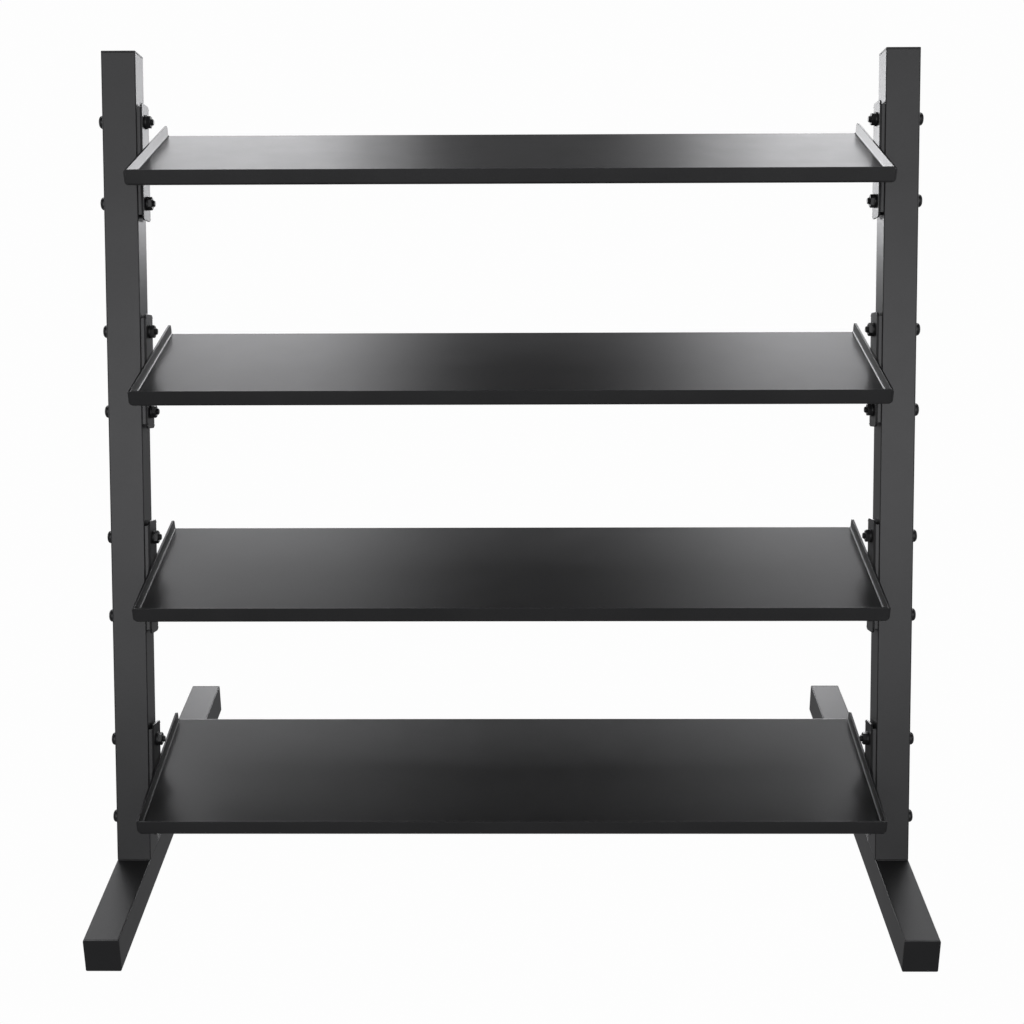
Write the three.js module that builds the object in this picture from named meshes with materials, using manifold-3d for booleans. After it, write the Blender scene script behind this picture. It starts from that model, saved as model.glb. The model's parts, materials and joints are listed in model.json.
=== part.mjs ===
// Four-tier dumbbell rack: two leaning side frames of square steel tube carry four folded
// sheet-steel trays on bolted brackets.
//
// Units are millimetres. +Z is up, the trays' lips face -Y, and X runs along the trays. The
// origin is on the floor, midway between the two foot rails and midway along them.

import * as THREE from 'three';
import { mergeVertices } from 'three/addons/utils/BufferGeometryUtils.js';
import Module from 'manifold-3d';

// Overall
const RACK_WIDTH = 1184; // across the outer faces of the two side frames
const FOOT_LENGTH = 790; // foot rail with its two end caps
const UPRIGHT_SETBACK = 205; // front end of the foot to the upright's front face
const LEAN = THREE.MathUtils.degToRad(16); // uprights lean back from vertical

// Square tube, the same for feet and uprights
const TUBE = 50;
const TUBE_WALL = 2.5;
const TUBE_CORNER = 2; // outside corner radius

// Plastic tube caps
const CAP_PLATE = 3; // thickness of the plate that closes the tube
const CAP_PLUG_DEPTH = 15; // how far the plug reaches into the tube
const CAP_PLUG_WALL = 2.5;

// Tiers, measured along the upright's front face from the top of the foot
const TIER_COUNT = 4;
const LOWEST_TIER = 127;
const TIER_PITCH = 305;
const ABOVE_TOP_TIER = 150.5;

// Trays
const TRAY_TILT = THREE.MathUtils.degToRad(5.3); // back edge higher than the lip
const TRAY_DEPTH = 301;
const TRAY_SHEET = 3;
const TRAY_BEND = 1; // inside radius of the folds
const LIP_HEIGHT = 22.5; // outside height of the front lip
const SIDE_HEIGHT = 20; // outside height of the side flanges
const HEM_HEIGHT = 15; // outside height of the hem folded down at the back

// Brackets between the uprights and the trays
const BRACKET_SHEET = 3;
const BRACKET_BEND = 1.5; // inside radius of the folds
const BRACKET_STANDOFF = 7.7; // upright's inner face to the bracket's tray face
const BRACKET_INSET = 1; // bracket's edges sit this far inside the upright's edges
const BRACKET_END = 25; // bolt centre to the end of the web
const FLANGE_SETBACK = 6.5; // flanges stop this far short of the web's ends
const WEB_CORNER = 10; // radius of the web's corners
const TRAY_ABOVE_BOLTS = 7; // tray surface above the middle of its two bolts

// Fasteners
const BOLT_DIAMETER = 10;
const BOLT_SPACING = 118; // between the two bolts of a bracket
const BOLT_PROUD = 3.7; // bolt end standing out of the nut
const BOLT_CHAMFER = 1;
const HEAD_DIAMETER = 19;
const HEAD_HEIGHT = 9.6;
const HEAD_RIM = 5; // straight edge below the dome
const HEAD_TOP_RADIUS = 4.4; // flat circle around the key socket
const SOCKET_ACROSS_FLATS = 6;
const SOCKET_DEPTH = 5;
const NUT_ACROSS_FLATS = 17;
const NUT_HEIGHT = 8;
const NUT_FLANGE_DIAMETER = 20.5;
const NUT_FLANGE_RIM = 1.6; // straight edge of the flange
const NUT_FLANGE_HEIGHT = 2.6; // rim and cone together

// Fits
const GAP = 0.3; // between faces that touch
const HOLE_CLEARANCE = 0.5; // around a bolt, on the radius
const NUT_CLEARANCE = 0.3; // around a bolt inside its nut, on the radius

// Facets
const ARC_STEPS = 3; // facets in a quarter turn of a fold or corner
const ROUND_STEPS = 12; // facets around a bolt, hole or nut flange
const DOME_STEPS = 3; // rings in a bolt head's dome

// Sizes that follow from those above
const UPRIGHT_LENGTH = LOWEST_TIER + (TIER_COUNT - 1) * TIER_PITCH + ABOVE_TOP_TIER;
const SIDE_CENTRE = RACK_WIDTH / 2 - TUBE / 2;
const BRACKET_FACE = TUBE / 2 + BRACKET_STANDOFF;
const BRACKET_DEPTH = TUBE - 2 * BRACKET_INSET;
const BRACKET_LENGTH = BOLT_SPACING + 2 * BRACKET_END;
const TRAY_WIDTH = 2 * (SIDE_CENTRE - BRACKET_FACE - GAP);
const NUT_SEAT = BRACKET_FACE + GAP;
const HEAD_SEAT = TUBE / 2 + GAP;
const BOLT_LENGTH = HEAD_SEAT + NUT_SEAT + NUT_HEIGHT + BOLT_PROUD;
const HOLE_RADIUS = BOLT_DIAMETER / 2 + HOLE_CLEARANCE;

const powderCoat = new THREE.MeshStandardMaterial({
  color: 0x333436, roughness: 0.42, metalness: 0.0,
});
const capPlastic = new THREE.MeshStandardMaterial({
  color: 0x18181a, roughness: 0.55, metalness: 0.0,
});
const blackSteel = new THREE.MeshStandardMaterial({
  color: 0x141416, roughness: 0.4, metalness: 0.7,
});

const wasm = await Module();
wasm.setup();

// ---------------------------------------------------------------- solids

function toSolid(geometry) {
  const bare = geometry.clone();
  bare.deleteAttribute('normal');
  bare.deleteAttribute('uv');
  const merged = mergeVertices(bare);
  const vertProperties = new Float32Array(merged.attributes.position.array);
  const triVerts = new Uint32Array(merged.index.array);
  return new wasm.Manifold(new wasm.Mesh({ numProp: 3, vertProperties, triVerts }));
}

function toGeometry(solid) {
  const mesh = solid.getMesh();
  const geometry = new THREE.BufferGeometry();
  geometry.setAttribute('position', new THREE.BufferAttribute(mesh.vertProperties, 3));
  geometry.setIndex(new THREE.BufferAttribute(mesh.triVerts, 1));
  geometry.computeVertexNormals();
  return geometry;
}

// Cuts each tool in the list out of a base shape.
function cut(base, tools) {
  let solid = toSolid(base);
  for (const tool of tools) {
    solid = solid.subtract(toSolid(tool));
  }
  return toGeometry(solid);
}

function join(first, second) {
  return toGeometry(toSolid(first).add(toSolid(second)));
}

// ---------------------------------------------------------------- outlines

function roundedRectangle(width, height, radius) {
  const shape = new THREE.Shape();
  const x = width / 2 - radius;
  const y = height / 2 - radius;
  shape.moveTo(x, -height / 2);
  shape.absarc(x, -y, radius, -Math.PI / 2, 0);
  shape.absarc(x, y, radius, 0, Math.PI / 2);
  shape.absarc(-x, y, radius, Math.PI / 2, Math.PI);
  shape.absarc(-x, -y, radius, Math.PI, 1.5 * Math.PI);
  return shape;
}

function squareRing(outside, wall, corner) {
  const shape = roundedRectangle(outside, outside, corner);
  const inside = outside - 2 * wall;
  shape.holes.push(roundedRectangle(inside, inside, Math.max(corner - wall, wall / 2)));
  return shape;
}

// The section of a folded sheet. `line` is the sheet's middle line, with a square fold at
// each of its inner corners.
function foldedSheet(line, thickness, insideRadius) {
  const left = [];
  const right = [];
  line.forEach((here, index) => {
    const before = index > 0 ? here.clone().sub(line[index - 1]).normalize() : null;
    const after = index < line.length - 1 ? line[index + 1].clone().sub(here).normalize() : null;
    if (!before || !after) {
      const along = before || after;
      const side = new THREE.Vector2(-along.y, along.x).multiplyScalar(thickness / 2);
      left.push(here.clone().add(side));
      right.push(here.clone().sub(side));
      return;
    }
    const turn = Math.sign(before.cross(after));
    const inwardBefore = new THREE.Vector2(-before.y, before.x).multiplyScalar(turn);
    const inwardAfter = new THREE.Vector2(-after.y, after.x).multiplyScalar(turn);
    const middle = insideRadius + thickness / 2;
    const centre = here.clone().addScaledVector(inwardBefore, middle);
    centre.addScaledVector(inwardAfter, middle);
    for (let step = 0; step <= ARC_STEPS; step += 1) {
      const angle = (step / ARC_STEPS) * (Math.PI / 2);
      const outward = inwardBefore.clone().multiplyScalar(-Math.cos(angle));
      outward.addScaledVector(inwardAfter, -Math.sin(angle));
      const inner = centre.clone().addScaledVector(outward, insideRadius);
      const outer = centre.clone().addScaledVector(outward, insideRadius + thickness);
      left.push(turn > 0 ? inner : outer);
      right.push(turn > 0 ? outer : inner);
    }
  });
  return new THREE.Shape([...left, ...right.reverse()]);
}

// ---------------------------------------------------------------- extrusions

const AXIS_X = new THREE.Vector3(1, 0, 0);
const AXIS_Y = new THREE.Vector3(0, 1, 0);
const AXIS_Z = new THREE.Vector3(0, 0, 1);

// A section drawn in X and Y, run along Z and centred on it.
function alongZ(shape, length) {
  const options = { depth: length, bevelEnabled: false, curveSegments: ARC_STEPS };
  const geometry = new THREE.ExtrudeGeometry(shape, options);
  geometry.translate(0, 0, -length / 2);
  return geometry;
}

// A section drawn in X and Z, run along Y and centred on it.
function alongY(shape, length) {
  const turn = new THREE.Matrix4().makeBasis(AXIS_X, AXIS_Z, AXIS_Y.clone().negate());
  return alongZ(shape, length).applyMatrix4(turn);
}

// A section drawn in Y and Z, run along X and centred on it.
function alongX(shape, length) {
  const turn = new THREE.Matrix4().makeBasis(AXIS_Y, AXIS_Z, AXIS_X);
  return alongZ(shape, length).applyMatrix4(turn);
}

function rodAlongX(radius, length, x, y, z) {
  const rod = new THREE.CylinderGeometry(radius, radius, length, ROUND_STEPS);
  rod.rotateZ(Math.PI / 2);
  rod.translate(x, y, z);
  return rod;
}

// ---------------------------------------------------------------- pieces

function footRail() {
  const length = FOOT_LENGTH - 2 * (CAP_PLATE + GAP);
  return alongY(squareRing(TUBE, TUBE_WALL, TUBE_CORNER), length);
}

// Distances along the upright of the surface of a tray and of the middle of its bracket.
function traySurface(tier) {
  return LOWEST_TIER + tier * TIER_PITCH;
}

function bracketMiddle(tier) {
  return traySurface(tier) - TRAY_ABOVE_BOLTS;
}

// Its section is centred on Z, and the front face's lower edge is at Z = 0. The lower end is
// cut level to stand on the foot, and each bolt hole goes through both walls.
function upright() {
  const top = UPRIGHT_LENGTH - CAP_PLATE - GAP;
  const length = top + TUBE;
  const tube = alongZ(squareRing(TUBE, TUBE_WALL, TUBE_CORNER), length);
  tube.translate(0, 0, top - length / 2);
  const below = new THREE.BoxGeometry(2 * TUBE, 4 * TUBE, 4 * TUBE);
  below.translate(0, 0, GAP - 2 * TUBE);
  below.rotateX(LEAN);
  below.translate(0, -TUBE / 2, 0);
  const tools = [below];
  for (let tier = 0; tier < TIER_COUNT; tier += 1) {
    for (const side of [-1, 1]) {
      const height = bracketMiddle(tier) + (side * BOLT_SPACING) / 2;
      tools.push(rodAlongX(HOLE_RADIUS, 2 * TUBE, 0, 0, height));
    }
  }
  return cut(tube, tools);
}

// The plate's outer face is at Z = 0 and the plug points down.
function tubeCap() {
  const plate = alongZ(roundedRectangle(TUBE, TUBE, TUBE_CORNER), CAP_PLATE);
  plate.translate(0, 0, -CAP_PLATE / 2);
  const plugWidth = TUBE - 2 * (TUBE_WALL + GAP);
  const plugCorner = Math.max(TUBE_CORNER - TUBE_WALL, TUBE_WALL / 2);
  const plugLength = CAP_PLATE / 2 + CAP_PLUG_DEPTH;
  const plug = alongZ(squareRing(plugWidth, CAP_PLUG_WALL, plugCorner), plugLength);
  plug.translate(0, 0, -CAP_PLATE / 2 - plugLength / 2);
  return join(plate, plug);
}

// Centred in X and Y, with the shelf surface at Z = 0 and the lip at -Y.
function tray() {
  const fold = TRAY_BEND + TRAY_SHEET;
  const half = TRAY_SHEET / 2;
  const side = TRAY_WIDTH / 2 - half;
  const sideTop = SIDE_HEIGHT - TRAY_SHEET;
  const across = foldedSheet([
    new THREE.Vector2(-side, sideTop),
    new THREE.Vector2(-side, -half),
    new THREE.Vector2(side, -half),
    new THREE.Vector2(side, sideTop),
  ], TRAY_SHEET, TRAY_BEND);
  const edge = TRAY_DEPTH / 2 - half;
  const frontToBack = foldedSheet([
    new THREE.Vector2(-edge, LIP_HEIGHT - TRAY_SHEET),
    new THREE.Vector2(-edge, -half),
    new THREE.Vector2(edge, -half),
    new THREE.Vector2(edge, -HEM_HEIGHT),
  ], TRAY_SHEET, TRAY_BEND);
  return join(alongY(across, TRAY_DEPTH - 2 * fold), alongX(frontToBack, TRAY_WIDTH - 2 * fold));
}

// Centred on the bolts' middle in Z and on the upright's axis in X and Y. The tray is on the
// +X side, and both flanges point back at the upright.
function bracket() {
  const fold = BRACKET_BEND + BRACKET_SHEET;
  const half = BRACKET_SHEET / 2;
  const flangeTip = TUBE / 2 + GAP;
  const webLine = BRACKET_FACE - half;
  const edge = BRACKET_DEPTH / 2 - half;
  const section = foldedSheet([
    new THREE.Vector2(flangeTip, -edge),
    new THREE.Vector2(webLine, -edge),
    new THREE.Vector2(webLine, edge),
    new THREE.Vector2(flangeTip, edge),
  ], BRACKET_SHEET, BRACKET_BEND);
  const flanged = BRACKET_LENGTH - 2 * FLANGE_SETBACK;
  const outline = roundedRectangle(BRACKET_DEPTH, BRACKET_LENGTH, WEB_CORNER);
  const web = alongX(outline, BRACKET_SHEET);
  web.translate(webLine, 0, 0);
  const notches = [-1, 1].map((side) => {
    const notch = new THREE.BoxGeometry(4 * BRACKET_SHEET, 2 * fold, flanged);
    notch.translate(webLine, (side * BRACKET_DEPTH) / 2, 0);
    return notch;
  });
  const blank = join(cut(web, notches), alongZ(section, flanged));
  const holes = [-1, 1].map((side) => (
    rodAlongX(HOLE_RADIUS, 4 * BRACKET_SHEET, webLine, 0, (side * BOLT_SPACING) / 2)
  ));
  return cut(blank, holes);
}

// Turns a profile of radius and height about Z.
function turned(profile) {
  const points = profile.map(([radius, height]) => new THREE.Vector2(radius, height));
  const geometry = new THREE.LatheGeometry(points, ROUND_STEPS);
  geometry.rotateX(Math.PI / 2);
  return geometry;
}

// Points up -X: the underside of the head is at X = 0 and the shank runs to +X.
function bolt() {
  const radius = BOLT_DIAMETER / 2;
  const headRadius = HEAD_DIAMETER / 2;
  const profile = [
    [0, -BOLT_LENGTH],
    [radius - BOLT_CHAMFER, -BOLT_LENGTH],
    [radius, -BOLT_LENGTH + BOLT_CHAMFER],
    [radius, 0],
    [headRadius, 0],
  ];
  for (let step = 0; step <= DOME_STEPS; step += 1) {
    const angle = (step / DOME_STEPS) * (Math.PI / 2);
    const across = HEAD_TOP_RADIUS + (headRadius - HEAD_TOP_RADIUS) * Math.cos(angle);
    profile.push([across, HEAD_RIM + (HEAD_HEIGHT - HEAD_RIM) * Math.sin(angle)]);
  }
  profile.push([0, HEAD_HEIGHT]);
  const socketRadius = SOCKET_ACROSS_FLATS / Math.sqrt(3);
  const socket = new THREE.CylinderGeometry(socketRadius, socketRadius, 2 * SOCKET_DEPTH, 6);
  socket.rotateX(Math.PI / 2);
  socket.translate(0, 0, HEAD_HEIGHT);
  return cut(turned(profile), [socket]).rotateY(-Math.PI / 2);
}

// The flange's face is at X = 0 and the nut stands towards +X.
function nut() {
  const hexRadius = NUT_ACROSS_FLATS / Math.sqrt(3);
  const hex = new THREE.CylinderGeometry(hexRadius, hexRadius, NUT_HEIGHT - NUT_FLANGE_RIM / 2, 6);
  hex.rotateX(Math.PI / 2);
  hex.translate(0, 0, (NUT_HEIGHT + NUT_FLANGE_RIM / 2) / 2);
  const flangeRadius = NUT_FLANGE_DIAMETER / 2;
  const flange = turned([
    [0, 0],
    [flangeRadius, 0],
    [flangeRadius, NUT_FLANGE_RIM],
    [NUT_ACROSS_FLATS / 2, NUT_FLANGE_HEIGHT],
    [0, NUT_FLANGE_HEIGHT],
  ]);
  const boreRadius = BOLT_DIAMETER / 2 + NUT_CLEARANCE;
  const bore = new THREE.CylinderGeometry(boreRadius, boreRadius, 4 * NUT_HEIGHT, ROUND_STEPS);
  bore.rotateX(Math.PI / 2);
  return cut(join(hex, flange), [bore]).rotateY(Math.PI / 2);
}

// ---------------------------------------------------------------- assembly

function place(parent, name, geometry, material, x, y, z) {
  const mesh = new THREE.Mesh(geometry, material);
  mesh.name = name;
  mesh.position.set(x, y, z);
  parent.add(mesh);
  return mesh;
}

const shapes = {
  footRail: footRail(),
  upright: upright(),
  tubeCap: tubeCap(),
  tray: tray(),
  bracket: bracket(),
  bolt: bolt(),
  nut: nut(),
};

const rack = new THREE.Group();

// The leaning frame: Z runs up the uprights, and Y is square to them, from their axis back.
const leaning = new THREE.Group();
leaning.position.set(0, UPRIGHT_SETBACK - FOOT_LENGTH / 2, TUBE);
leaning.rotation.x = -LEAN;
rack.add(leaning);
const axis = new THREE.Group();
axis.position.y = TUBE / 2;
leaning.add(axis);

for (const [side, sign] of [['left', -1], ['right', 1]]) {
  const x = sign * SIDE_CENTRE;
  place(rack, `foot_rail_${side}`, shapes.footRail, powderCoat, x, 0, TUBE / 2);
  for (const [end, direction] of [['front', -1], ['rear', 1]]) {
    const y = (direction * FOOT_LENGTH) / 2;
    const cap = place(rack, `foot_cap_${side}_${end}`, shapes.tubeCap, capPlastic, x, y, TUBE / 2);
    cap.rotation.x = (-direction * Math.PI) / 2;
  }
  place(axis, `upright_${side}`, shapes.upright, powderCoat, x, 0, 0);
  place(axis, `upright_cap_${side}`, shapes.tubeCap, capPlastic, x, 0, UPRIGHT_LENGTH);

  // In this group +X points from the upright to the trays on either side.
  const inward = new THREE.Group();
  inward.position.x = x;
  inward.rotation.z = sign > 0 ? Math.PI : 0;
  axis.add(inward);
  for (let tier = 0; tier < TIER_COUNT; tier += 1) {
    const middle = bracketMiddle(tier);
    const label = `${side}_${tier + 1}`;
    place(inward, `bracket_${label}`, shapes.bracket, powderCoat, 0, 0, middle);
    for (const [level, direction] of [['lower', -1], ['upper', 1]]) {
      const height = middle + (direction * BOLT_SPACING) / 2;
      place(inward, `bolt_${label}_${level}`, shapes.bolt, blackSteel, -HEAD_SEAT, 0, height);
      place(inward, `nut_${label}_${level}`, shapes.nut, blackSteel, NUT_SEAT, 0, height);
    }
  }
}

for (let tier = 0; tier < TIER_COUNT; tier += 1) {
  const name = `tray_${tier + 1}`;
  const mesh = place(axis, name, shapes.tray, powderCoat, 0, 0, traySurface(tier));
  mesh.rotation.x = LEAN + TRAY_TILT;
}

export default rack;
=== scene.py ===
import json
import math

import bmesh
import bpy
from mathutils import Matrix, Vector


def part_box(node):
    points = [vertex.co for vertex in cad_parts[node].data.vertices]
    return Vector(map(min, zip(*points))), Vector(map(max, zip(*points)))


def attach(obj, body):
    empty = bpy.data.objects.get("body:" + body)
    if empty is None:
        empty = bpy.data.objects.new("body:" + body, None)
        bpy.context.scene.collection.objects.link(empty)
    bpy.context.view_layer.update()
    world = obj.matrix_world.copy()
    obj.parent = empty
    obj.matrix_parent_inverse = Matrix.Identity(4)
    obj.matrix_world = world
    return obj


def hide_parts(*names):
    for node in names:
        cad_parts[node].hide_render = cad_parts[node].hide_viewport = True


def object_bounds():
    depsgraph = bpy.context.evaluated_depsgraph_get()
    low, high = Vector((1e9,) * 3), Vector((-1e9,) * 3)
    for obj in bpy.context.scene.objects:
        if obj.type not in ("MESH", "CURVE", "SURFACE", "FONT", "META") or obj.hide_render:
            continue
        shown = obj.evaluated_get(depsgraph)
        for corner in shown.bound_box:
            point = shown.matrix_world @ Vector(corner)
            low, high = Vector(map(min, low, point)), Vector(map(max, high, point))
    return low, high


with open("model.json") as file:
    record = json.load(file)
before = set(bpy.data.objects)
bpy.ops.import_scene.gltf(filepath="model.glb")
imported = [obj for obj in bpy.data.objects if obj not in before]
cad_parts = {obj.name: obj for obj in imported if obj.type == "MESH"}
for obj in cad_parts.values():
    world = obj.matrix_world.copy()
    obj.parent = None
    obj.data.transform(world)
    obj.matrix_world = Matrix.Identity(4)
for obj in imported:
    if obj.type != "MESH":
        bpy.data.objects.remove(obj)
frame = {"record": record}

# The finished look of the dumbbell rack, in metres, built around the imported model.

CAD_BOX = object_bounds()
MM = 0.001
SIDES = (("left", -1), ("right", 1))
TIERS = (1, 2, 3, 4)
LEVELS = ("lower", "upper")

# Square tube
TUBE_WALL = 2.5 * MM
TUBE_CORNER = 2 * MM  # radius of its outside corners
TUBE_INSIDE_CORNER = 1.25 * MM

# Trays. Heights are measured over the sheet, and corners are those of the flanges.
TRAY_SHEET = 3 * MM
TRAY_DEPTH = 301 * MM
TRAY_BEND = 1 * MM  # inside radius of the folds at the lip and the hem
SIDE_BEND = 2.5 * MM  # and of those at the sides
LIP_HEIGHT = 22.5 * MM
LIP_CORNER = 1.5 * MM
LIP_OVERRUN = 1.6 * MM  # how far the lip runs past its fold at each end
SIDE_HEIGHT = 20 * MM
SIDE_CORNER = 8 * MM
HEM_HEIGHT = 15 * MM
HEM_CORNER = 4 * MM

# Brackets
BRACKET_SHEET = 3 * MM
BRACKET_BEND = 1.5 * MM
BRACKET_DEPTH = 48 * MM
BRACKET_LENGTH = 168 * MM
FLANGE_SETBACK = 6.5 * MM  # the flanges stop this far short of the web's ends
WEB_CORNER = 10 * MM
WEB_RELIEF = 1 * MM  # gap cut between a flange's end and the web's tab beyond it

HOLE_RADIUS = 5.5 * MM
HOLE_SIDES = 32
CUT_EDGE = 0.45 * MM  # softening of the sheets' cut edges
SOFTENED_ABOVE = math.radians(55)  # edges that turn less than this are left alone

# Fasteners
BOLT_RADIUS = 5 * MM
BOLT_CHAMFER = 1.2 * MM
BOLT_CROWN = 0.1 * MM  # the threaded end is slightly domed, by this much
BOLT_CROWN_EDGE = 0.2 * MM
THREAD_PITCH = 1.5 * MM
THREAD_DEPTH = 0.8 * MM
THREAD_LENGTH = 15 * MM
NECK = 0.2 * MM  # a last ring this far below the head, to keep the corner there sharp
RINGS_PER_THREAD = 6
HEAD_RADIUS = 9.5 * MM
HEAD_HEIGHT = 9.6 * MM
HEAD_RIM = 5 * MM  # straight part of the head, below its dome
HEAD_EDGE = 0.3 * MM
HEAD_FLAT = 4.4 * MM  # radius of the flat around the key socket
DOME_STEPS = 10
SOCKET_FLATS = 6 * MM
SOCKET_DEPTH = 5 * MM
SOCKET_EDGE = 0.25 * MM
SOCKET_POINT = 0.6 * MM  # depth of the cone at the socket's bottom
SOCKET_POINT_RADIUS = 1.2 * MM
NUT_FLATS = 17 * MM
NUT_HEIGHT = 8 * MM
NUT_SLOPE = math.radians(30)  # of the chamfer that rounds off the hexagon's corners
NUT_TOP_SHARE = 0.97  # radius of the circle left on top, as a share of half the flats
NUT_EDGE = 0.25 * MM
NUT_CLEARANCE = 0.05 * MM
NUT_SINKS = (0.4 * MM, 0.8 * MM)  # chamfers of the bore, below and on top
NUT_FLANGE = 10.25 * MM  # radius of the nut's flange
NUT_RIM = 1.6 * MM
NUT_CONE = 2.6 * MM  # height of the rim and the cone together
NUT_SHOULDER = 0.1 * MM  # how far the cone stands out at the hexagon's corners
NUT_SHOULDER_DROP = 0.3 * MM
ROUND = 48  # sides of every round part of a fastener

# How far each fastener happens to be turned, in degrees, and how much more on each tier
BOLT_TURNS = {("lower", -1): 11, ("upper", -1): 37, ("lower", 1): 52, ("upper", 1): 23}
BOLT_TURN_PER_TIER = 29
NUT_TURNS = {("lower", -1): 8, ("upper", -1): 41, ("lower", 1): 27, ("upper", 1): 55}
NUT_TURN_PER_TIER = 17

# Caps
CAP_PLATE = 3 * MM
CAP_FILLET = 0.7 * MM
CAP_CROWN = 0.15 * MM  # how far the plate's middle stands above its edges
CAP_PLUG = 15 * MM
CAP_PLUG_WALL = 2.5 * MM
FIT_GAP = 0.3 * MM

# Weld beads
FRAME_FILLET = 1.3 * MM
FRAME_SEAM = 0.75 * MM
SEAM_SINK = 0.45 * MM  # how far a seam's middle lies inside the upright's side
TRAY_FILLET = 1.3 * MM
TRAY_FILLET_SINK = 1 * MM  # how far a tray's fillet lies inside its side
TRAY_FILLET_SETBACK = 3 * MM  # it stops this far short of the bracket's edges
BEAD_SIDES = 14
BEAD_PITCH = 1.6 * MM
STEPS_PER_RIPPLE = 4

ARC_STEPS = 8  # steps in a quarter turn of a corner or fold


# ---------------------------------------------------------------- the frame's axes

def mount(name):
    found = next(m for m in frame["record"]["mounts"] if m["name"] == name)
    return Vector(found["pos_m"]), Vector(found["axis"]).normalized()


TRAY_MOUNTS = [mount(f"{tier}_tray_surface") for tier in ("lowest", "second", "third", "top")]
UP = (TRAY_MOUNTS[3][0] - TRAY_MOUNTS[0][0]).normalized()  # along the uprights
ACROSS = Vector((1, 0, 0))
BACK = UP.cross(ACROSS)  # square to the uprights, towards the back
LEAN = math.atan2(UP.y, UP.z)


def middle(node):
    low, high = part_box(node)
    return (Vector(low) + Vector(high)) / 2


def basis(x_axis, y_axis, z_axis, origin):
    matrix = Matrix((x_axis, y_axis, z_axis)).transposed().to_4x4()
    matrix.translation = origin
    return matrix


# ---------------------------------------------------------------- mesh tools

def new_object(name, bm, smooth_angle=30):
    bmesh.ops.recalc_face_normals(bm, faces=bm.faces)
    mesh = bpy.data.meshes.new(name)
    bm.to_mesh(mesh)
    bm.free()
    for polygon in mesh.polygons:
        polygon.use_smooth = True
    mesh.set_sharp_from_angle(angle=math.radians(smooth_angle))
    piece = bpy.data.objects.new(name, mesh)
    bpy.context.scene.collection.objects.link(piece)
    return piece


def finish_piece(piece, material, slot, *nodes):
    piece.data.materials.clear()
    piece.data.materials.append(material)
    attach(piece, "root")
    if nodes:
        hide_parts(*nodes)


def apply_modifiers(piece):
    graph = bpy.context.evaluated_depsgraph_get()
    graph.update()
    baked = bpy.data.meshes.new_from_object(piece.evaluated_get(graph), depsgraph=graph)
    piece.modifiers.clear()
    old = piece.data
    piece.data = baked
    bpy.data.meshes.remove(old)


def soften(piece, segments):
    """Rounds off a sheet's cut edges."""
    bevel = piece.modifiers.new("edges", "BEVEL")
    bevel.width = CUT_EDGE
    bevel.segments = segments
    bevel.limit_method = "ANGLE"
    bevel.angle_limit = SOFTENED_ABOVE
    bevel.miter_outer = "MITER_ARC"
    bevel.use_clamp_overlap = True


def weigh_normals(piece):
    weighted = piece.modifiers.new("normals", "WEIGHTED_NORMAL")
    weighted.keep_sharp = True
    weighted.weight = 100


def drill(piece, rods):
    """Cuts round holes of HOLE_RADIUS along X, each given as (centre, length)."""
    bm = bmesh.new()
    for centre, length in rods:
        turn = Matrix.Translation(centre) @ Matrix.Rotation(math.pi / 2, 4, "Y")
        bmesh.ops.create_cone(bm, cap_ends=True, segments=HOLE_SIDES, radius1=HOLE_RADIUS,
                              radius2=HOLE_RADIUS, depth=length, matrix=turn)
    cutter = new_object("cutter", bm)
    boolean = piece.modifiers.new("holes", "BOOLEAN")
    boolean.operation = "DIFFERENCE"
    boolean.solver = "EXACT"
    boolean.object = cutter
    apply_modifiers(piece)
    bpy.data.objects.remove(cutter)
    piece.data.set_sharp_from_angle(angle=math.radians(30))


def rounded_square(half, radius):
    points = []
    for quarter in range(4):
        start = quarter * math.pi / 2
        centre_angle = start + math.pi / 4
        reach = (half - radius) * math.sqrt(2)
        cx, cy = reach * math.cos(centre_angle), reach * math.sin(centre_angle)
        for step in range(ARC_STEPS + 1):
            angle = start + step / ARC_STEPS * math.pi / 2
            points.append((cx + radius * math.cos(angle), cy + radius * math.sin(angle)))
    return points


def bridge(bm, lower, upper):
    count = len(lower)
    for i in range(count):
        j = (i + 1) % count
        bm.faces.new((lower[i], lower[j], upper[j], upper[i]))


def loft(bm, rings, close_tube=False):
    """Joins rings of points into a skin, closed by faces at its ends or back on itself."""
    loops = [[bm.verts.new(point) for point in ring] for ring in rings]
    for lower, upper in zip(loops, loops[1:]):
        bridge(bm, lower, upper)
    if close_tube:
        bridge(bm, loops[-1], loops[0])
    else:
        bm.faces.new(list(reversed(loops[0])))
        bm.faces.new(loops[-1])


# ---------------------------------------------------------------- materials

def node(tree, kind, **inputs):
    made = tree.nodes.new(kind)
    for key, value in inputs.items():
        made.inputs[key.replace("_", " ")].default_value = value
    return made


def ranged(tree, value, low, high, out_low, out_high):
    """Maps a value from low..high to out_low..out_high."""
    mapped = tree.nodes.new("ShaderNodeMapRange")
    mapped.inputs["From Min"].default_value = low
    mapped.inputs["From Max"].default_value = high
    mapped.inputs["To Min"].default_value = out_low
    mapped.inputs["To Max"].default_value = out_high
    tree.links.new(value, mapped.inputs["Value"])
    return mapped.outputs["Result"]


def blended(tree, kind, factor, first, second):
    mix = tree.nodes.new("ShaderNodeMix")
    mix.data_type = "RGBA"
    mix.blend_type = kind
    sockets = {socket.identifier: socket for socket in mix.inputs}
    for name, source in (("Factor_Float", factor), ("A_Color", first), ("B_Color", second)):
        if isinstance(source, bpy.types.NodeSocket):
            tree.links.new(source, sockets[name])
        else:
            sockets[name].default_value = source
    return next(socket for socket in mix.outputs if socket.identifier == "Result_Color")


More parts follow.
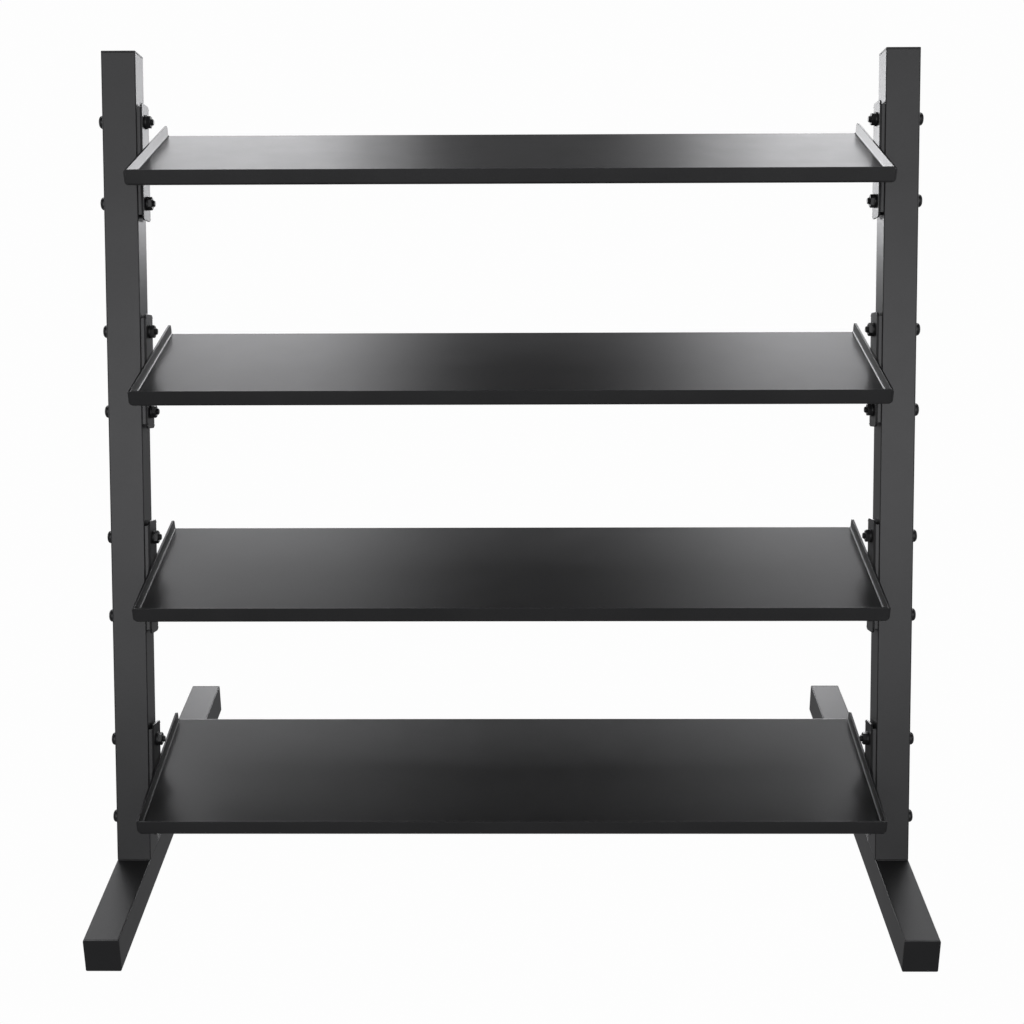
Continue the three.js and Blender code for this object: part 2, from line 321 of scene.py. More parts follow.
def noise(tree, place, size, detail):
    made = node(tree, "ShaderNodeTexNoise", Scale=1 / size, Detail=detail, Roughness=0.55)
    tree.links.new(place.outputs["Object"], made.inputs["Vector"])
    return made.outputs["Fac"]


CLOUD_SIZE = 140 * MM
PATCH_SIZE = 45 * MM
RIPPLE_SIZE = 6  # as a multiple of the grain's size
EDGE_REACH = 0.8 * MM
COLOUR_DRIFT = 0.14
SPECKLE = 0.22
GLOSS_DRIFT = 0.012


def coated(name, colour, roughness, grain_size, grain, peel, edge_sheen_strength, edge_sheen_colour):
    """A moulded or sprayed surface: colour drift, uneven gloss, a fine grain over a broader
    ripple, and edges paled in patches towards a lighter colour: a painted highlight, which also
    stands for the coat thinning at edges. `grain` and `peel` are the heights of the grain and the
    ripple; the last argument is the edges' colour, and the one before it how much of the edges'
    own colour goes at most."""
    material = bpy.data.materials.new(name)
    material.use_nodes = True
    tree = material.node_tree
    shader = tree.nodes["Principled BSDF"]
    link = tree.links.new
    place = tree.nodes.new("ShaderNodeTexCoord")
    cloud = noise(tree, place, CLOUD_SIZE, 4)
    patch = noise(tree, place, PATCH_SIZE, 5)
    speck = noise(tree, place, grain_size, 3)
    ripple = noise(tree, place, grain_size * RIPPLE_SIZE, 2)

    # Edges: where a normal averaged over a small radius turns away from the true one. They get a
    # painted highlight, paled in patches towards the edge colour.
    rounded = node(tree, "ShaderNodeBevel", Radius=EDGE_REACH)
    rounded.samples = 4
    shape = tree.nodes.new("ShaderNodeNewGeometry")
    facing = tree.nodes.new("ShaderNodeVectorMath")
    facing.operation = "DOT_PRODUCT"
    link(rounded.outputs["Normal"], facing.inputs[0])
    link(shape.outputs["Normal"], facing.inputs[1])
    edge = ranged(tree, facing.outputs["Value"], 0.99, 0.80, 0, 1)
    sheen_patches = ranged(tree, patch, 0.42, 0.62, 0, edge_sheen_strength)
    pale_edge_sheen = tree.nodes.new("ShaderNodeMath")
    pale_edge_sheen.operation = "MULTIPLY"
    link(edge, pale_edge_sheen.inputs[0])
    link(sheen_patches, pale_edge_sheen.inputs[1])

    dark = [c * (1 - COLOUR_DRIFT) for c in colour] + [1]
    light = [c * (1 + COLOUR_DRIFT) for c in colour] + [1]
    drift = blended(tree, "MIX", ranged(tree, cloud, 0.3, 0.7, 0, 1), dark, light)
    grainy = ranged(tree, speck, 0.35, 0.65, 1 - SPECKLE, 1 + SPECKLE)
    speckled = blended(tree, "MULTIPLY", 1.0, drift, grainy)
    # Painted highlight: the edges are mixed, in patches, towards the paler edge colour.
    final = blended(tree, "MIX", pale_edge_sheen.outputs["Value"], speckled, list(edge_sheen_colour) + [1])
    link(final, shader.inputs["Base Color"])

    gloss = ranged(tree, patch, 0.3, 0.7, roughness - GLOSS_DRIFT, roughness + GLOSS_DRIFT)
    link(gloss, shader.inputs["Roughness"])

    broad = node(tree, "ShaderNodeBump", Strength=1.0, Distance=peel)
    link(ripple, broad.inputs["Height"])
    fine = node(tree, "ShaderNodeBump", Strength=1.0, Distance=grain)
    link(speck, fine.inputs["Height"])
    link(broad.outputs["Normal"], fine.inputs["Normal"])
    link(fine.outputs["Normal"], shader.inputs["Normal"])
    return material


COAT = (0.0255, 0.0255, 0.0262)
PLASTIC = (0.016, 0.016, 0.017)
OXIDE = (0.018, 0.018, 0.019)
# Paler colours for the edges: a painted highlight along them, which also stands for the finish
# thinning there.
PALE_EDGE_SHEEN = (0.060, 0.060, 0.062)
STEEL_EDGE_SHEEN = (0.06, 0.058, 0.056)


def sprayed(name):
    """The satin black powder coat, which is the same on the frame and the trays."""
    return coated(name, COAT, roughness=0.29, grain_size=0.7 * MM, grain=0.010 * MM,
                  peel=0.020 * MM, edge_sheen_strength=0.5, edge_sheen_colour=PALE_EDGE_SHEEN)


powder_coat = sprayed("powder_coat")
tray_coat = sprayed("tray_coat")
cap_plastic = coated("cap_plastic", PLASTIC, roughness=0.42, grain_size=0.5 * MM,
                     grain=0.010 * MM, peel=0.012 * MM, edge_sheen_strength=0.4, edge_sheen_colour=PALE_EDGE_SHEEN)
black_steel = coated("black_steel", OXIDE, roughness=0.36, grain_size=0.4 * MM,
                     grain=0.006 * MM, peel=0.010 * MM, edge_sheen_strength=0.6, edge_sheen_colour=STEEL_EDGE_SHEEN)


# ---------------------------------------------------------------- tubes

def tube(node_name, matrix, low_end, high_end, holes):
    """A square tube along the matrix's Z. Each end is a function of the section's Y."""
    outer = rounded_square(TUBE_HALF, TUBE_CORNER)
    inner = rounded_square(TUBE_HALF - TUBE_WALL, TUBE_INSIDE_CORNER)
    bm = bmesh.new()
    rings = [
        [matrix @ Vector((x, y, low_end(y))) for x, y in outer],
        [matrix @ Vector((x, y, high_end(y))) for x, y in outer],
        [matrix @ Vector((x, y, high_end(y))) for x, y in inner],
        [matrix @ Vector((x, y, low_end(y))) for x, y in inner],
    ]
    loft(bm, rings, close_tube=True)
    piece = new_object(node_name + "_tube", bm)
    if holes:
        drill(piece, holes)
    weigh_normals(piece)
    finish_piece(piece, powder_coat, "powder_coat", node_name)


low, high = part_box("foot_rail_left")
TUBE_HALF = (high[0] - low[0]) / 2
FOOT_TOP = high[2]
UPRIGHT_X = {side: middle(f"upright_{side}").x for side, _ in SIDES}


def bolt_axis(side, tier, level):
    return middle(f"bolt_{side}_{tier}_{level}")


def make_frames():
    for side, _ in SIDES:
        name = f"foot_rail_{side}"
        low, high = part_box(name)
        along = basis(ACROSS, Vector((0, 0, 1)), Vector((0, -1, 0)), middle(name))
        reach = (high[1] - low[1]) / 2
        tube(name, along, lambda y: -reach, lambda y: reach, [])

        name = f"upright_{side}"
        axis_point = bolt_axis(side, 1, "lower")
        origin = Vector((UPRIGHT_X[side], axis_point.y, axis_point.z))
        origin -= UP * ((origin.z - FOOT_TOP) / UP.z)
        upright = basis(ACROSS, BACK, UP, origin)
        # The foot's top is level, so the tube's lower end follows it from front to back.
        slope = math.tan(LEAN)
        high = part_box(name)[1]
        front_top = BACK * -TUBE_HALF
        length = (high[2] - (origin + front_top).z) / UP.z
        floor_gap = FIT_GAP / math.cos(LEAN)
        holes = [
            (Vector((UPRIGHT_X[side], *bolt_axis(side, tier, level).yz)), 3 * TUBE_HALF)
            for tier in TIERS for level in LEVELS
        ]
        tube(name, upright, lambda y: y * slope + floor_gap, lambda y: length, holes)


# ---------------------------------------------------------------- folded sheet

def corner_arc(corner, towards_first, towards_last, radius):
    """Points that round off a corner between two square directions."""
    if radius == 0:
        return [corner]
    centre = corner + (towards_first + towards_last) * radius
    points = []
    for step in range(ARC_STEPS + 1):
        angle = step / ARC_STEPS * math.pi / 2
        points.append(centre - towards_last * (radius * math.cos(angle))
                      - towards_first * (radius * math.sin(angle)))
    return points


def fold_strip(bm, first, second, outward, normal, rise, radius, rounding=(0, 0)):
    """Adds a fold and its flange along the edge from vertex `first` to `second` of a sheet's
    middle surface. `outward` points away from the sheet, `normal` the way it folds, and
    `rounding` is the radius of the flange's free corner at each end."""
    edge = [first, second]
    base = [first.co.copy(), second.co.copy()]
    along = (base[1] - base[0]).normalized()
    for step in range(1, ARC_STEPS + 1):
        angle = step / ARC_STEPS * math.pi / 2
        shift = outward * (radius * math.sin(angle)) + normal * (radius * (1 - math.cos(angle)))
        ring = [bm.verts.new(point + shift) for point in base]
        bm.faces.new((edge[0], edge[1], ring[1], ring[0]))
        edge = ring
    far, near = edge[1].co + normal * rise, edge[0].co + normal * rise
    free = corner_arc(far, -normal, -along, rounding[1])
    free += list(reversed(corner_arc(near, -normal, along, rounding[0])))
    bm.faces.new([edge[0], edge[1]] + [bm.verts.new(point) for point in free])


def thicken(piece, thickness):
    solid = piece.modifiers.new("sheet", "SOLIDIFY")
    solid.thickness = thickness
    solid.offset = 0
    solid.use_even_offset = True
    solid.use_quality_normals = True


def make_tray(tier):
    name = f"tray_{tier}"
    low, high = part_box(name)
    surface, up = TRAY_MOUNTS[tier - 1]
    back = up.cross(ACROSS)
    half_sheet = TRAY_SHEET / 2
    radius = TRAY_BEND + half_sheet
    fold = TRAY_BEND + TRAY_SHEET
    side_radius = SIDE_BEND + half_sheet
    side_fold = SIDE_BEND + TRAY_SHEET
    half_x = (high[0] - low[0]) / 2 - side_fold
    half_y = TRAY_DEPTH / 2 - fold
    place = basis(ACROSS, back, up, surface - up * half_sheet)
    bm = bmesh.new()
    corners = [(-half_x, -half_y), (half_x, -half_y), (half_x, half_y), (-half_x, half_y)]
    base = [bm.verts.new((x, y, 0)) for x, y in corners]
    bm.faces.new(base)
    rise = Vector((0, 0, 1))
    side_rise = SIDE_HEIGHT - side_fold
    lip_rise = LIP_HEIGHT - fold
    hem_rise = HEM_HEIGHT - fold
    front, back_side = Vector((0, -1, 0)), Vector((0, 1, 0))
    fold_strip(bm, base[0], base[1], front, rise, lip_rise, radius, (LIP_CORNER, LIP_CORNER))
    # Above its fold the lip widens, to stand in front of the side flanges' ends.
    for vert in bm.verts:
        if vert.co.y < -half_y:
            vert.co.x += math.copysign(LIP_OVERRUN * min(1, vert.co.z / radius), vert.co.x)
    fold_strip(bm, base[1], base[2], ACROSS, rise, side_rise, side_radius, (0, SIDE_CORNER))
    fold_strip(bm, base[2], base[3], back_side, -rise, hem_rise, radius, (HEM_CORNER, HEM_CORNER))
    fold_strip(bm, base[3], base[0], -ACROSS, rise, side_rise, side_radius, (SIDE_CORNER, 0))
    bm.transform(place)
    piece = new_object(name + "_sheet", bm)
    thicken(piece, TRAY_SHEET)
    soften(piece, segments=3)
    apply_modifiers(piece)
    piece.data.set_sharp_from_angle(angle=math.radians(40))
    weigh_normals(piece)
    finish_piece(piece, tray_coat, "tray_coat", name)


def make_bracket(side, sign, tier):
    name = f"bracket_{side}_{tier}"
    low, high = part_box(name)
    inner_face = low[0] if sign > 0 else high[0]
    bolts = [bolt_axis(side, tier, level) for level in LEVELS]
    centre = (bolts[0] + bolts[1]) / 2
    half_sheet = BRACKET_SHEET / 2
    radius = BRACKET_BEND + half_sheet
    fold = BRACKET_BEND + BRACKET_SHEET
    outward = ACROSS * sign  # from the trays to the upright
    origin = Vector((inner_face, centre.y, centre.z)) + outward * half_sheet
    place = basis(BACK, UP, outward, origin)
    if place.determinant() < 0:
        place = basis(-BACK, UP, outward, origin)
    half_y = BRACKET_DEPTH / 2
    fold_y = half_y - fold
    half_z = BRACKET_LENGTH / 2
    flanged = half_z - FLANGE_SETBACK
    tab = flanged + WEB_RELIEF
    # The tab's corner is an arc that starts where the relief cut meets it.
    centre_y, centre_z = half_y - WEB_CORNER, half_z - WEB_CORNER
    start = math.asin((tab - centre_z) / WEB_CORNER)
    arc = []
    for step in range(ARC_STEPS + 1):
        angle = start + step / ARC_STEPS * (math.pi / 2 - start)
        arc.append((centre_y + WEB_CORNER * math.cos(angle),
                    centre_z + WEB_CORNER * math.sin(angle)))
    quarter = [(fold_y, flanged), (fold_y, tab)] + arc
    outline = list(quarter)
    outline += [(-y, z) for y, z in reversed(quarter)]
    outline += [(-y, -z) for y, z in quarter]
    outline += [(y, -z) for y, z in reversed(quarter)]
    bm = bmesh.new()
    verts = [bm.verts.new((y, z, 0)) for y, z in outline]
    bm.faces.new(verts)
    count = len(quarter)
    rise = Vector((0, 0, 1))
    depth = (high[0] - low[0]) - fold
    edges = ((verts[0], verts[-1], 1), (verts[2 * count], verts[2 * count - 1], -1))
    for first, second, direction in edges:
        fold_strip(bm, first, second, Vector((direction, 0, 0)), rise, depth, radius)
    bm.transform(place)
    piece = new_object(name + "_sheet", bm)
    thicken(piece, BRACKET_SHEET)
    soften(piece, segments=2)
    apply_modifiers(piece)
    drill(piece, [(Vector((inner_face, b.y, b.z)), 6 * BRACKET_SHEET) for b in bolts])
    piece.data.set_sharp_from_angle(angle=math.radians(40))
    weigh_normals(piece)
    finish_piece(piece, powder_coat, "powder_coat", name)


# ---------------------------------------------------------------- fasteners

def hex_radius(flats, angle):
    """Distance to a hexagon's edge, for a hexagon measured across its flats."""
    turn = (angle + math.pi / 6) % (math.pi / 3) - math.pi / 6
    return flats / 2 / math.cos(turn)


def ring(radius, height):
    """One ring about Z, its radius a number or a function of the angle."""
    points = []
    for step in range(ROUND):
        angle = 2 * math.pi * step / ROUND
        reach = radius(angle) if callable(radius) else radius
        points.append((reach * math.cos(angle), reach * math.sin(angle), height))
    return points


def thread_ring(height, start):
    """A ring of a thread that fades in over its first turn above `start`."""
    def radius(angle):
        phase = (height / THREAD_PITCH - angle / (2 * math.pi)) % 1
        groove = abs(2 * phase - 1)
        fade = min(1, max(0, (start - height) / THREAD_PITCH))
        return BOLT_RADIUS - THREAD_DEPTH * (1 - groove) * fade
    return ring(radius, height)


def make_bolt(side, sign, tier, level):
    name = f"bolt_{side}_{tier}_{level}"
    low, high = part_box(name)
    seat = high[0] - HEAD_HEIGHT if sign > 0 else low[0] + HEAD_HEIGHT
    centre = middle(name)
    length = (high[0] - low[0]) - HEAD_HEIGHT
    # From the threaded end, which is slightly crowned, up to the head and into its socket
    end_radius = BOLT_RADIUS - BOLT_CHAMFER
    rings = [ring(end_radius - BOLT_CROWN_EDGE, -length), ring(end_radius, -length + BOLT_CROWN)]
    start = -length + THREAD_LENGTH
    threaded = THREAD_LENGTH - BOLT_CHAMFER
    steps = int(threaded / THREAD_PITCH * RINGS_PER_THREAD)
    for step in range(steps + 1):
        height = -length + BOLT_CHAMFER + threaded * step / steps
        rings.append(thread_ring(height, start))
    rings.append(ring(BOLT_RADIUS, -NECK))
    rings.append(ring(BOLT_RADIUS, 0))
    rings.append(ring(HEAD_RADIUS - HEAD_EDGE, 0))
    rings.append(ring(HEAD_RADIUS, HEAD_EDGE))
    for step in range(DOME_STEPS + 1):
        angle = step / DOME_STEPS * math.pi / 2
        across = HEAD_FLAT + (HEAD_RADIUS - HEAD_FLAT) * math.cos(angle)
        rings.append(ring(across, HEAD_RIM + (HEAD_HEIGHT - HEAD_RIM) * math.sin(angle)))
    rings.append(ring(lambda a: hex_radius(SOCKET_FLATS, a) + SOCKET_EDGE, HEAD_HEIGHT))
    rings.append(ring(lambda a: hex_radius(SOCKET_FLATS, a), HEAD_HEIGHT - SOCKET_EDGE))
    rings.append(ring(lambda a: hex_radius(SOCKET_FLATS, a), HEAD_HEIGHT - SOCKET_DEPTH))
    rings.append(ring(SOCKET_POINT_RADIUS, HEAD_HEIGHT - SOCKET_DEPTH - SOCKET_POINT))
    bm = bmesh.new()
    loft(bm, rings)
    turn = BOLT_TURNS[level, sign] + BOLT_TURN_PER_TIER * tier
    spin = Matrix.Rotation(math.radians(turn), 4, "Z")
    bm.transform(basis(Vector((0, 0, -sign)), Vector((0, 1, 0)), Vector((sign, 0, 0)),
                       Vector((seat, centre.y, centre.z))) @ spin)
    piece = new_object(name + "_screw", bm, smooth_angle=34)
    weigh_normals(piece)
    finish_piece(piece, black_steel, "black_steel", name)


def make_nut(side, sign, tier, level):
    name = f"nut_{side}_{tier}_{level}"
    low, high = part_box(name)
    seat = high[0] if sign > 0 else low[0]
    centre = middle(name)
    top_circle = NUT_FLATS / 2 * NUT_TOP_SHARE
    corner = hex_radius(NUT_FLATS, math.pi / 6)
    chamfer = (corner - top_circle) * math.tan(NUT_SLOPE)

    def wall(height):
        cone = top_circle + (NUT_HEIGHT - height) / math.tan(NUT_SLOPE)
        return lambda a: min(hex_radius(NUT_FLATS, a), cone)

    bore = BOLT_RADIUS + NUT_CLEARANCE
    sink_below, sink_above = NUT_SINKS
    rings = [
        ring(bore, sink_below),
        ring(bore + sink_below, 0),
        ring(NUT_FLANGE - NUT_EDGE, 0),
        ring(NUT_FLANGE, NUT_EDGE),
        ring(NUT_FLANGE, NUT_RIM - NUT_EDGE),
        ring(NUT_FLANGE - NUT_EDGE, NUT_RIM),
        ring(corner + NUT_SHOULDER, NUT_CONE - NUT_SHOULDER_DROP),
        ring(lambda a: hex_radius(NUT_FLATS, a), NUT_CONE),
    ]
    chamfer_steps = 5
    for step in range(chamfer_steps + 1):
        height = NUT_HEIGHT - chamfer + chamfer * step / chamfer_steps
        rings.append(ring(wall(height), height))
    rings.append(ring(bore + sink_above, NUT_HEIGHT))
    rings.append(ring(bore, NUT_HEIGHT - sink_above))
    bm = bmesh.new()
    loft(bm, rings, close_tube=True)
    turn = NUT_TURNS[level, sign] + NUT_TURN_PER_TIER * tier
    spin = Matrix.Rotation(math.radians(turn), 4, "Z")
    bm.transform(basis(Vector((0, 0, sign)), Vector((0, 1, 0)), Vector((-sign, 0, 0)),
                       Vector((seat, centre.y, centre.z))) @ spin)
    piece = new_object(name + "_flanged", bm, smooth_angle=25)
    weigh_normals(piece)
    finish_piece(piece, black_steel, "black_steel", name)


# ---------------------------------------------------------------- caps

def make_cap(name, matrix):
    """The matrix's origin is the middle of the cap's outer face, its Z points outwards."""
    plug_half = TUBE_HALF - TUBE_WALL - FIT_GAP
    plug_inside = plug_half - CAP_PLUG_WALL
    plug_end = -CAP_PLATE - CAP_PLUG
    inside_corner, plug_corner = 1 * MM, 1.3 * MM
    lead_in, lead_length = 0.5 * MM, 1 * MM  # the plug's end narrows, to start it in the tube
    plate_edge = 0.2 * MM

    def square(half, height, corner):
        return [matrix @ Vector((x, y, height)) for x, y in rounded_square(half, corner)]

    # From the floor of the hollow plug, around its rim and out over the plate's face
    rings = [
        square(plug_inside, -CAP_PLATE - 0.1 * MM, inside_corner),
        square(plug_inside, plug_end, inside_corner),
        square(plug_half - lead_in, plug_end, inside_corner),
        square(plug_half, plug_end + lead_length, plug_corner),
        square(plug_half, -CAP_PLATE, plug_corner),
        square(TUBE_HALF - plate_edge, -CAP_PLATE, TUBE_CORNER),
        square(TUBE_HALF, -CAP_PLATE + plate_edge, TUBE_CORNER),
    ]
    fillet_steps = 5
    for step in range(fillet_steps + 1):
        angle = step / fillet_steps * math.pi / 2
        inset = CAP_FILLET * (1 - math.cos(angle))
        height = -CAP_CROWN - CAP_FILLET * (1 - math.sin(angle))
        rings.append(square(TUBE_HALF - inset, height, TUBE_CORNER - inset * 0.5))
    crown_steps = 6
    start = TUBE_HALF - CAP_FILLET
    for step in range(1, crown_steps):
        share = step / crown_steps
        half = start * (1 - share)
        rings.append(square(half, -CAP_CROWN * (1 - share) ** 2, min(TUBE_CORNER, half * 0.5)))
    bm = bmesh.new()
    loft(bm, rings)
    piece = new_object(name + "_plug", bm, smooth_angle=40)
    weigh_normals(piece)
    finish_piece(piece, cap_plastic, "cap_plastic", name)


def make_caps():
    for side, _ in SIDES:
        for end, direction in (("front", -1), ("rear", 1)):
            name = f"foot_cap_{side}_{end}"
            low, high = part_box(name)
            centre = middle(name)
            face = low[1] if direction < 0 else high[1]
            outward = Vector((0, direction, 0))
            up = Vector((0, 0, 1))
            origin = Vector((centre.x, face, centre.z))
            make_cap(name, basis(up.cross(outward), up, outward, origin))
        name = f"upright_cap_{side}"
        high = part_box(name)[1]
        axis_point = bolt_axis(side, TIERS[-1], "upper")
        origin = Vector((UPRIGHT_X[side], axis_point.y, axis_point.z))
        front_top = origin + BACK * -TUBE_HALF
        origin += UP * ((high[2] - front_top.z) / UP.z)
        make_cap(name, basis(ACROSS, BACK, UP, origin))


# ---------------------------------------------------------------- welds

def bead(bm, start, end, radius, ripple=0.12):
    """A weld bead between two points: a round bar with overlapping ripples and blunt ends."""
    along = end - start
    length = along.length
    along.normalize()
    side = along.orthogonal().normalized()
    other = along.cross(side)
    end_length = 1.5 * radius  # the rounding at each end
    bluntness = 0.02
    steps = int(length / BEAD_PITCH * STEPS_PER_RIPPLE)
    rings = []
    for step in range(steps + 1):
        distance = length * step / steps
        saw = (distance / BEAD_PITCH) % 1
        from_end = min(distance, length - distance) / end_length
        taper = min(1, math.sqrt(max(bluntness, from_end)))
        reach = radius * taper * (1 + ripple * (saw - 0.5))
        centre = start + along * distance
        rings.append([
            centre + (side * math.cos(a) + other * math.sin(a)) * reach
            for a in (2 * math.pi * k / BEAD_SIDES for k in range(BEAD_SIDES))
        ])
    loft(bm, rings)


def make_frame_weld(side):
    """Fillets in front of and behind the upright, and thin seams down its two flush sides."""
    axis_point = bolt_axis(side, 1, "lower")
    base = Vector((UPRIGHT_X[side], axis_point.y, axis_point.z))
    base -= UP * ((base.z - FOOT_TOP) / UP.z)
    reach = TUBE_HALF / math.cos(LEAN)
    inset = TUBE_CORNER
    bm = bmesh.new()
    for end in (-1, 1):
        corner = base + Vector((0, end * reach, 0))
        left = corner + ACROSS * -(TUBE_HALF - inset)
        right = corner + ACROSS * (TUBE_HALF - inset)
        bead(bm, left, right, FRAME_FILLET)
    for flank in (-1, 1):
        seam = base + ACROSS * (flank * (TUBE_HALF - SEAM_SINK))
        front = seam + Vector((0, -reach + inset, 0))
        rear = seam + Vector((0, reach - inset, 0))
        bead(bm, front, rear, FRAME_SEAM, ripple=0.05)
    piece = new_object(f"weld_upright_{side}", bm, smooth_angle=60)
    finish_piece(piece, powder_coat, "powder_coat")


def make_tray_weld(side, sign, tier):
    """A fillet under the tray's side fold, where the bracket's web runs past it."""
    surface, up = TRAY_MOUNTS[tier - 1]
    back = up.cross(ACROSS)
    low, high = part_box(f"tray_{tier}")
    face = high[0] if sign > 0 else low[0]
    fold = TRAY_BEND + TRAY_SHEET
    drop = TRAY_SHEET - 0.4 * fold  # tucked into the fold's curve
    centre = Vector((face - sign * TRAY_FILLET_SINK, surface.y, surface.z)) - up * drop
    reach = BRACKET_DEPTH / 2 - TRAY_FILLET_SETBACK
    bm = bmesh.new()
    bead(bm, centre - back * reach, centre + back * reach, TRAY_FILLET)
    piece = new_object(f"weld_tray_{side}_{tier}", bm, smooth_angle=60)
    finish_piece(piece, powder_coat, "powder_coat")


# ---------------------------------------------------------------- camera

# Solved from edges measured in the photo, together with the rack's sizes
CAMERA_RIGHT = 0.0250
CAMERA_AHEAD = 1.9010  # in front of the foot rails
CAMERA_HEIGHT = 1.3814
CAMERA_PITCH = math.radians(20.236)
CAMERA_YAW = math.radians(-0.602)
CAMERA_ROLL = math.radians(0.315)
CAMERA_LENS = 57.24  # both in the camera's own millimetres
CAMERA_SENSOR = 36.0


def make_camera():
    data = bpy.data.cameras.new("camera")
    data.lens = CAMERA_LENS
    data.sensor_width = CAMERA_SENSOR
    camera = bpy.data.objects.new("camera", data)
    bpy.context.scene.collection.objects.link(camera)
    ahead = CAD_BOX[0][1] - CAMERA_AHEAD
    flat = Vector((math.sin(CAMERA_YAW), math.cos(CAMERA_YAW), 0))
    forward = flat * math.cos(CAMERA_PITCH) - Vector((0, 0, math.sin(CAMERA_PITCH)))
    right = Vector((math.cos(CAMERA_YAW), -math.sin(CAMERA_YAW), 0))
    down = forward.cross(right)
    turned = right * math.cos(CAMERA_ROLL) + down * math.sin(CAMERA_ROLL)
    up = turned.cross(forward)
    camera.matrix_world = basis(turned, up, -forward, Vector((CAMERA_RIGHT, ahead, CAMERA_HEIGHT)))
    bpy.context.scene.camera = camera


# ---------------------------------------------------------------- floor and light

FLOOR_RADIUS = 60
FLOOR_SIDES = 64
BACKDROP_SEGMENTS = 32
PALE = 0.985  # plain floor and backdrop, just under full white
PANEL_COLOUR = (0.98, 0.98, 1.0)


def make_surround(name, bm):
    """A plain pale surface that only the camera sees. It doesn't light the rack."""
    surround = new_object(name, bm)
    material = bpy.data.materials.new(name)
    material.use_nodes = True
    shader = material.node_tree.nodes["Principled BSDF"]
    shader.inputs["Base Color"].default_value = (0, 0, 0, 1)
    shader.inputs["Specular IOR Level"].default_value = 0
    shader.inputs["Emission Color"].default_value = (PALE, PALE, PALE, 1)
    shader.inputs["Emission Strength"].default_value = 1
    surround.data.materials.append(material)
    surround.visible_diffuse = False
    surround.visible_glossy = False
    surround.visible_transmission = False
    surround.visible_volume_scatter = False
    surround.visible_shadow = False


def make_floor():
    bm = bmesh.new()
    bmesh.ops.create_circle(bm, cap_ends=True, segments=FLOOR_SIDES,
                             radius=FLOOR_RADIUS)
    make_surround("floor", bm)
    bm = bmesh.new()
    bmesh.ops.create_uvsphere(bm, u_segments=BACKDROP_SEGMENTS,
                              v_segments=BACKDROP_SEGMENTS // 2, radius=FLOOR_RADIUS)
    make_surround("backdrop", bm)


def panel(name, centre, across, rise, radiance):
    """A flat soft light. `across` and `rise` are its half sides, and it shines along
    rise x across."""
    data = bpy.data.lights.new(name, "AREA")
    data.shape = "RECTANGLE"
    data.size = 2 * across.length
    data.size_y = 2 * rise.length
    data.energy = radiance * math.pi * data.size * data.size_y
    data.color = PANEL_COLOUR
    light = bpy.data.objects.new(name, data)
    bpy.context.scene.collection.objects.link(light)
    x, y = across.normalized(), rise.normalized()
    light.matrix_world = basis(x, y, x.cross(y), centre)
    light.visible_camera = False


# The studio. The strengths of its panels, except those at the sides, come from a fit to the
# photo's grey values. They were rounded, and a few then changed.

# A wall of soft light panels behind the rack, bright to the left and right and dark in the
# middle, fading upwards. Each column is its two ends and its strength, and each row its lower
# and upper edge and its share of that strength.
BACK_WALL = 5.2
BACK_COLUMNS = (
    (-4.2, -1.8, 1.9),
    (-1.8, -1.1, 5.5),
    (-1.1, -0.8, 5.2),
    (-0.8, -0.5, 2.0),
    (-0.5, 0.5, 0.2),
    (0.5, 0.8, 0.8),
    (0.8, 1.1, 3.3),
    (1.1, 1.8, 5.9),
    (1.8, 4.2, 1.1),
)
BACK_ROWS = ((-0.05, 1, 1.05), (1, 2, 1.0), (2, 3, 0.45), (3, 4, 0.25))
PASSING_BELOW = 2  # rows that start lower than this shine past the trays

# Two more panels in the wall's upper corners
HIGH_PAIR = 2.0
HIGH_ENDS = (1.8, 4.2)  # distances from the middle
HIGH_ROW = (4, 6)  # lower and upper edge

# A softer wall in front. Each row is its lower and upper edge and its strength.
FRONT_WALL = -5
FRONT_HALF_WIDTH = 3
FRONT_ROWS = ((0, 0.8, 0.8), (0.8, 1.6, 1.7), (1.6, 2.6, 2.3), (2.6, 4, 1.4), (4, 6, 1.2))

# Both sides. Each row says whether it lies in front (-1) or behind (1), then as above.
SIDE_WALL = 5
SIDE_DEPTH = 4  # each side panel runs this far from the middle
SIDE_ROWS = ((-1, 0, 1.5, 0.3), (-1, 1.5, 3.5, 0.5), (1, 0, 1.5, 1.0), (1, 1.5, 3.5, 0.5))

# One panel overhead, towards the back
CEILING = 5.5
CEILING_ROW = (2, 4)  # its near and far edge
CEILING_STRENGTH = 4.5

# What the pale floor would send back up
BOUNCE = 0.19
BOUNCE_HALF_SIDE = 15
BOUNCE_BELOW = 0.05


def upright_panel(name, x_ends, y, low, high, radiance, facing):
    """A panel that stands square to Y and shines along it, towards +Y if `facing` is 1."""
    half = (x_ends[1] - x_ends[0]) / 2
    centre = Vector(((x_ends[0] + x_ends[1]) / 2, y, (low + high) / 2))
    panel(name, centre, Vector((facing * half, 0, 0)), Vector((0, 0, (high - low) / 2)), radiance)


def let_through(light, pieces):
    """Lets a light reach past these pieces."""
    passed = bpy.data.collections.new(light.name + "_passes")
    for piece in pieces:
        passed.objects.link(piece)
    for member in passed.collection_objects:
        member.light_linking.link_state = "EXCLUDE"
    light.light_linking.blocker_collection = passed


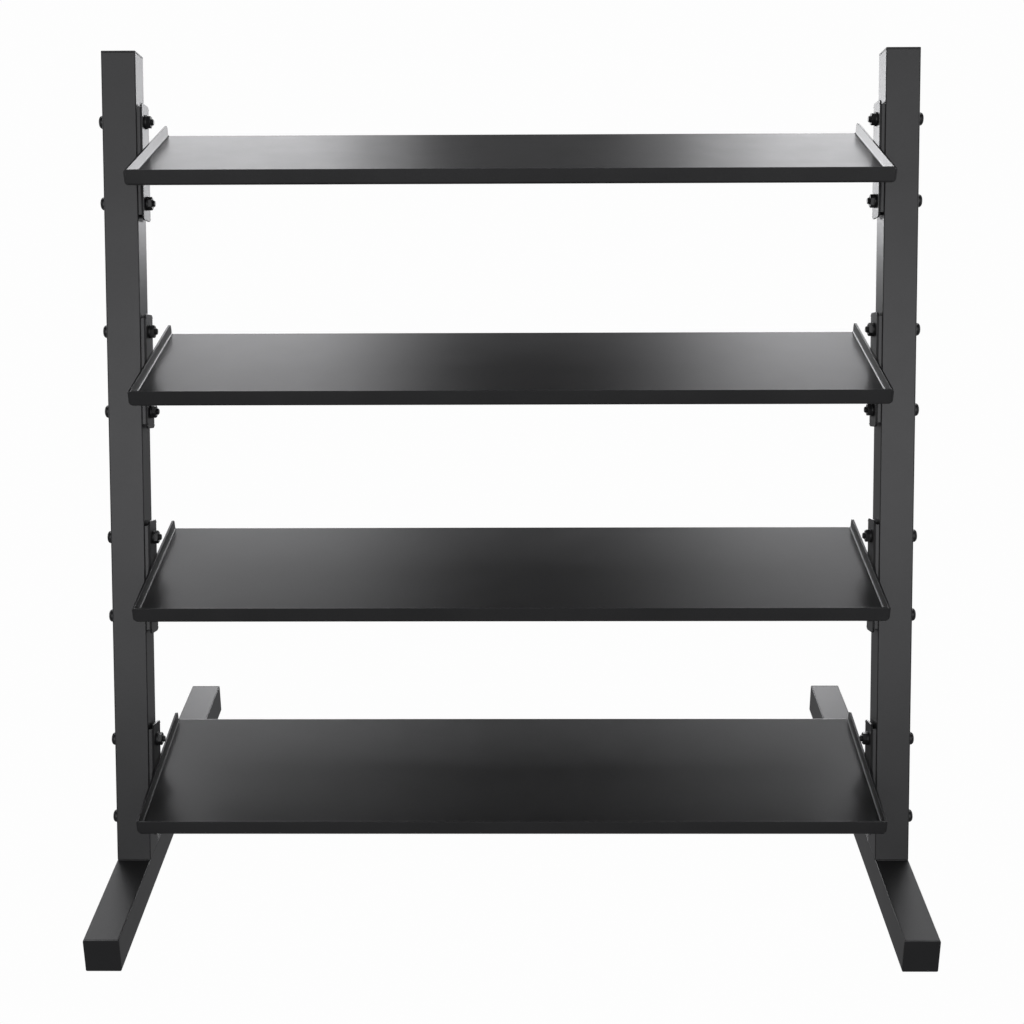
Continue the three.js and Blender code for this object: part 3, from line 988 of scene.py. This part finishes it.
def make_light():
    trays = [bpy.data.objects[f"tray_{tier}_sheet"] for tier in TIERS]
    for column, (left, right, radiance) in enumerate(BACK_COLUMNS):
        for row, (low, high, share) in enumerate(BACK_ROWS):
            name = f"back_{column}_{row}"
            upright_panel(name, (left, right), BACK_WALL, low, high, radiance * share, -1)
            if low < PASSING_BELOW:
                let_through(bpy.data.objects[name], trays)
    for side, sign in SIDES:
        ends = sorted(sign * end for end in HIGH_ENDS)
        upright_panel(f"high_{side}", ends, BACK_WALL, *HIGH_ROW, HIGH_PAIR, -1)
    front = (-FRONT_HALF_WIDTH, FRONT_HALF_WIDTH)
    for row, (low, high, radiance) in enumerate(FRONT_ROWS):
        upright_panel(f"front_{row}", front, FRONT_WALL, low, high, radiance, 1)
    for row, (end, low, high, radiance) in enumerate(SIDE_ROWS):
        for side, sign in SIDES:
            centre = Vector((sign * SIDE_WALL, end * SIDE_DEPTH / 2, (low + high) / 2))
            across = Vector((0, sign * SIDE_DEPTH / 2, 0))
            rise = Vector((0, 0, (high - low) / 2))
            panel(f"side_{side}_{row}", centre, across, rise, radiance)
    near, far = CEILING_ROW
    centre = Vector((0, (near + far) / 2, CEILING))
    across = Vector((FRONT_HALF_WIDTH, 0, 0))
    panel("ceiling", centre, across, Vector((0, (far - near) / 2, 0)), CEILING_STRENGTH)
    centre = Vector((0, 0, -BOUNCE_BELOW))
    half = BOUNCE_HALF_SIDE
    panel("bounce", centre, Vector((-half, 0, 0)), Vector((0, half, 0)), BOUNCE)
    world = bpy.data.worlds.new("dark")
    world.use_nodes = True
    world.node_tree.nodes["Background"].inputs["Color"].default_value = (0, 0, 0, 1)
    bpy.context.scene.world = world


make_camera()
make_frames()
for tier_number in TIERS:
    make_tray(tier_number)
for side_name, side_sign in SIDES:
    make_frame_weld(side_name)
    for tier_number in TIERS:
        make_bracket(side_name, side_sign, tier_number)
        make_tray_weld(side_name, side_sign, tier_number)
        for level_name in LEVELS:
            make_bolt(side_name, side_sign, tier_number, level_name)
            make_nut(side_name, side_sign, tier_number, level_name)
make_caps()
make_floor()
make_light()

bpy.context.scene.view_settings.view_transform = "Standard"
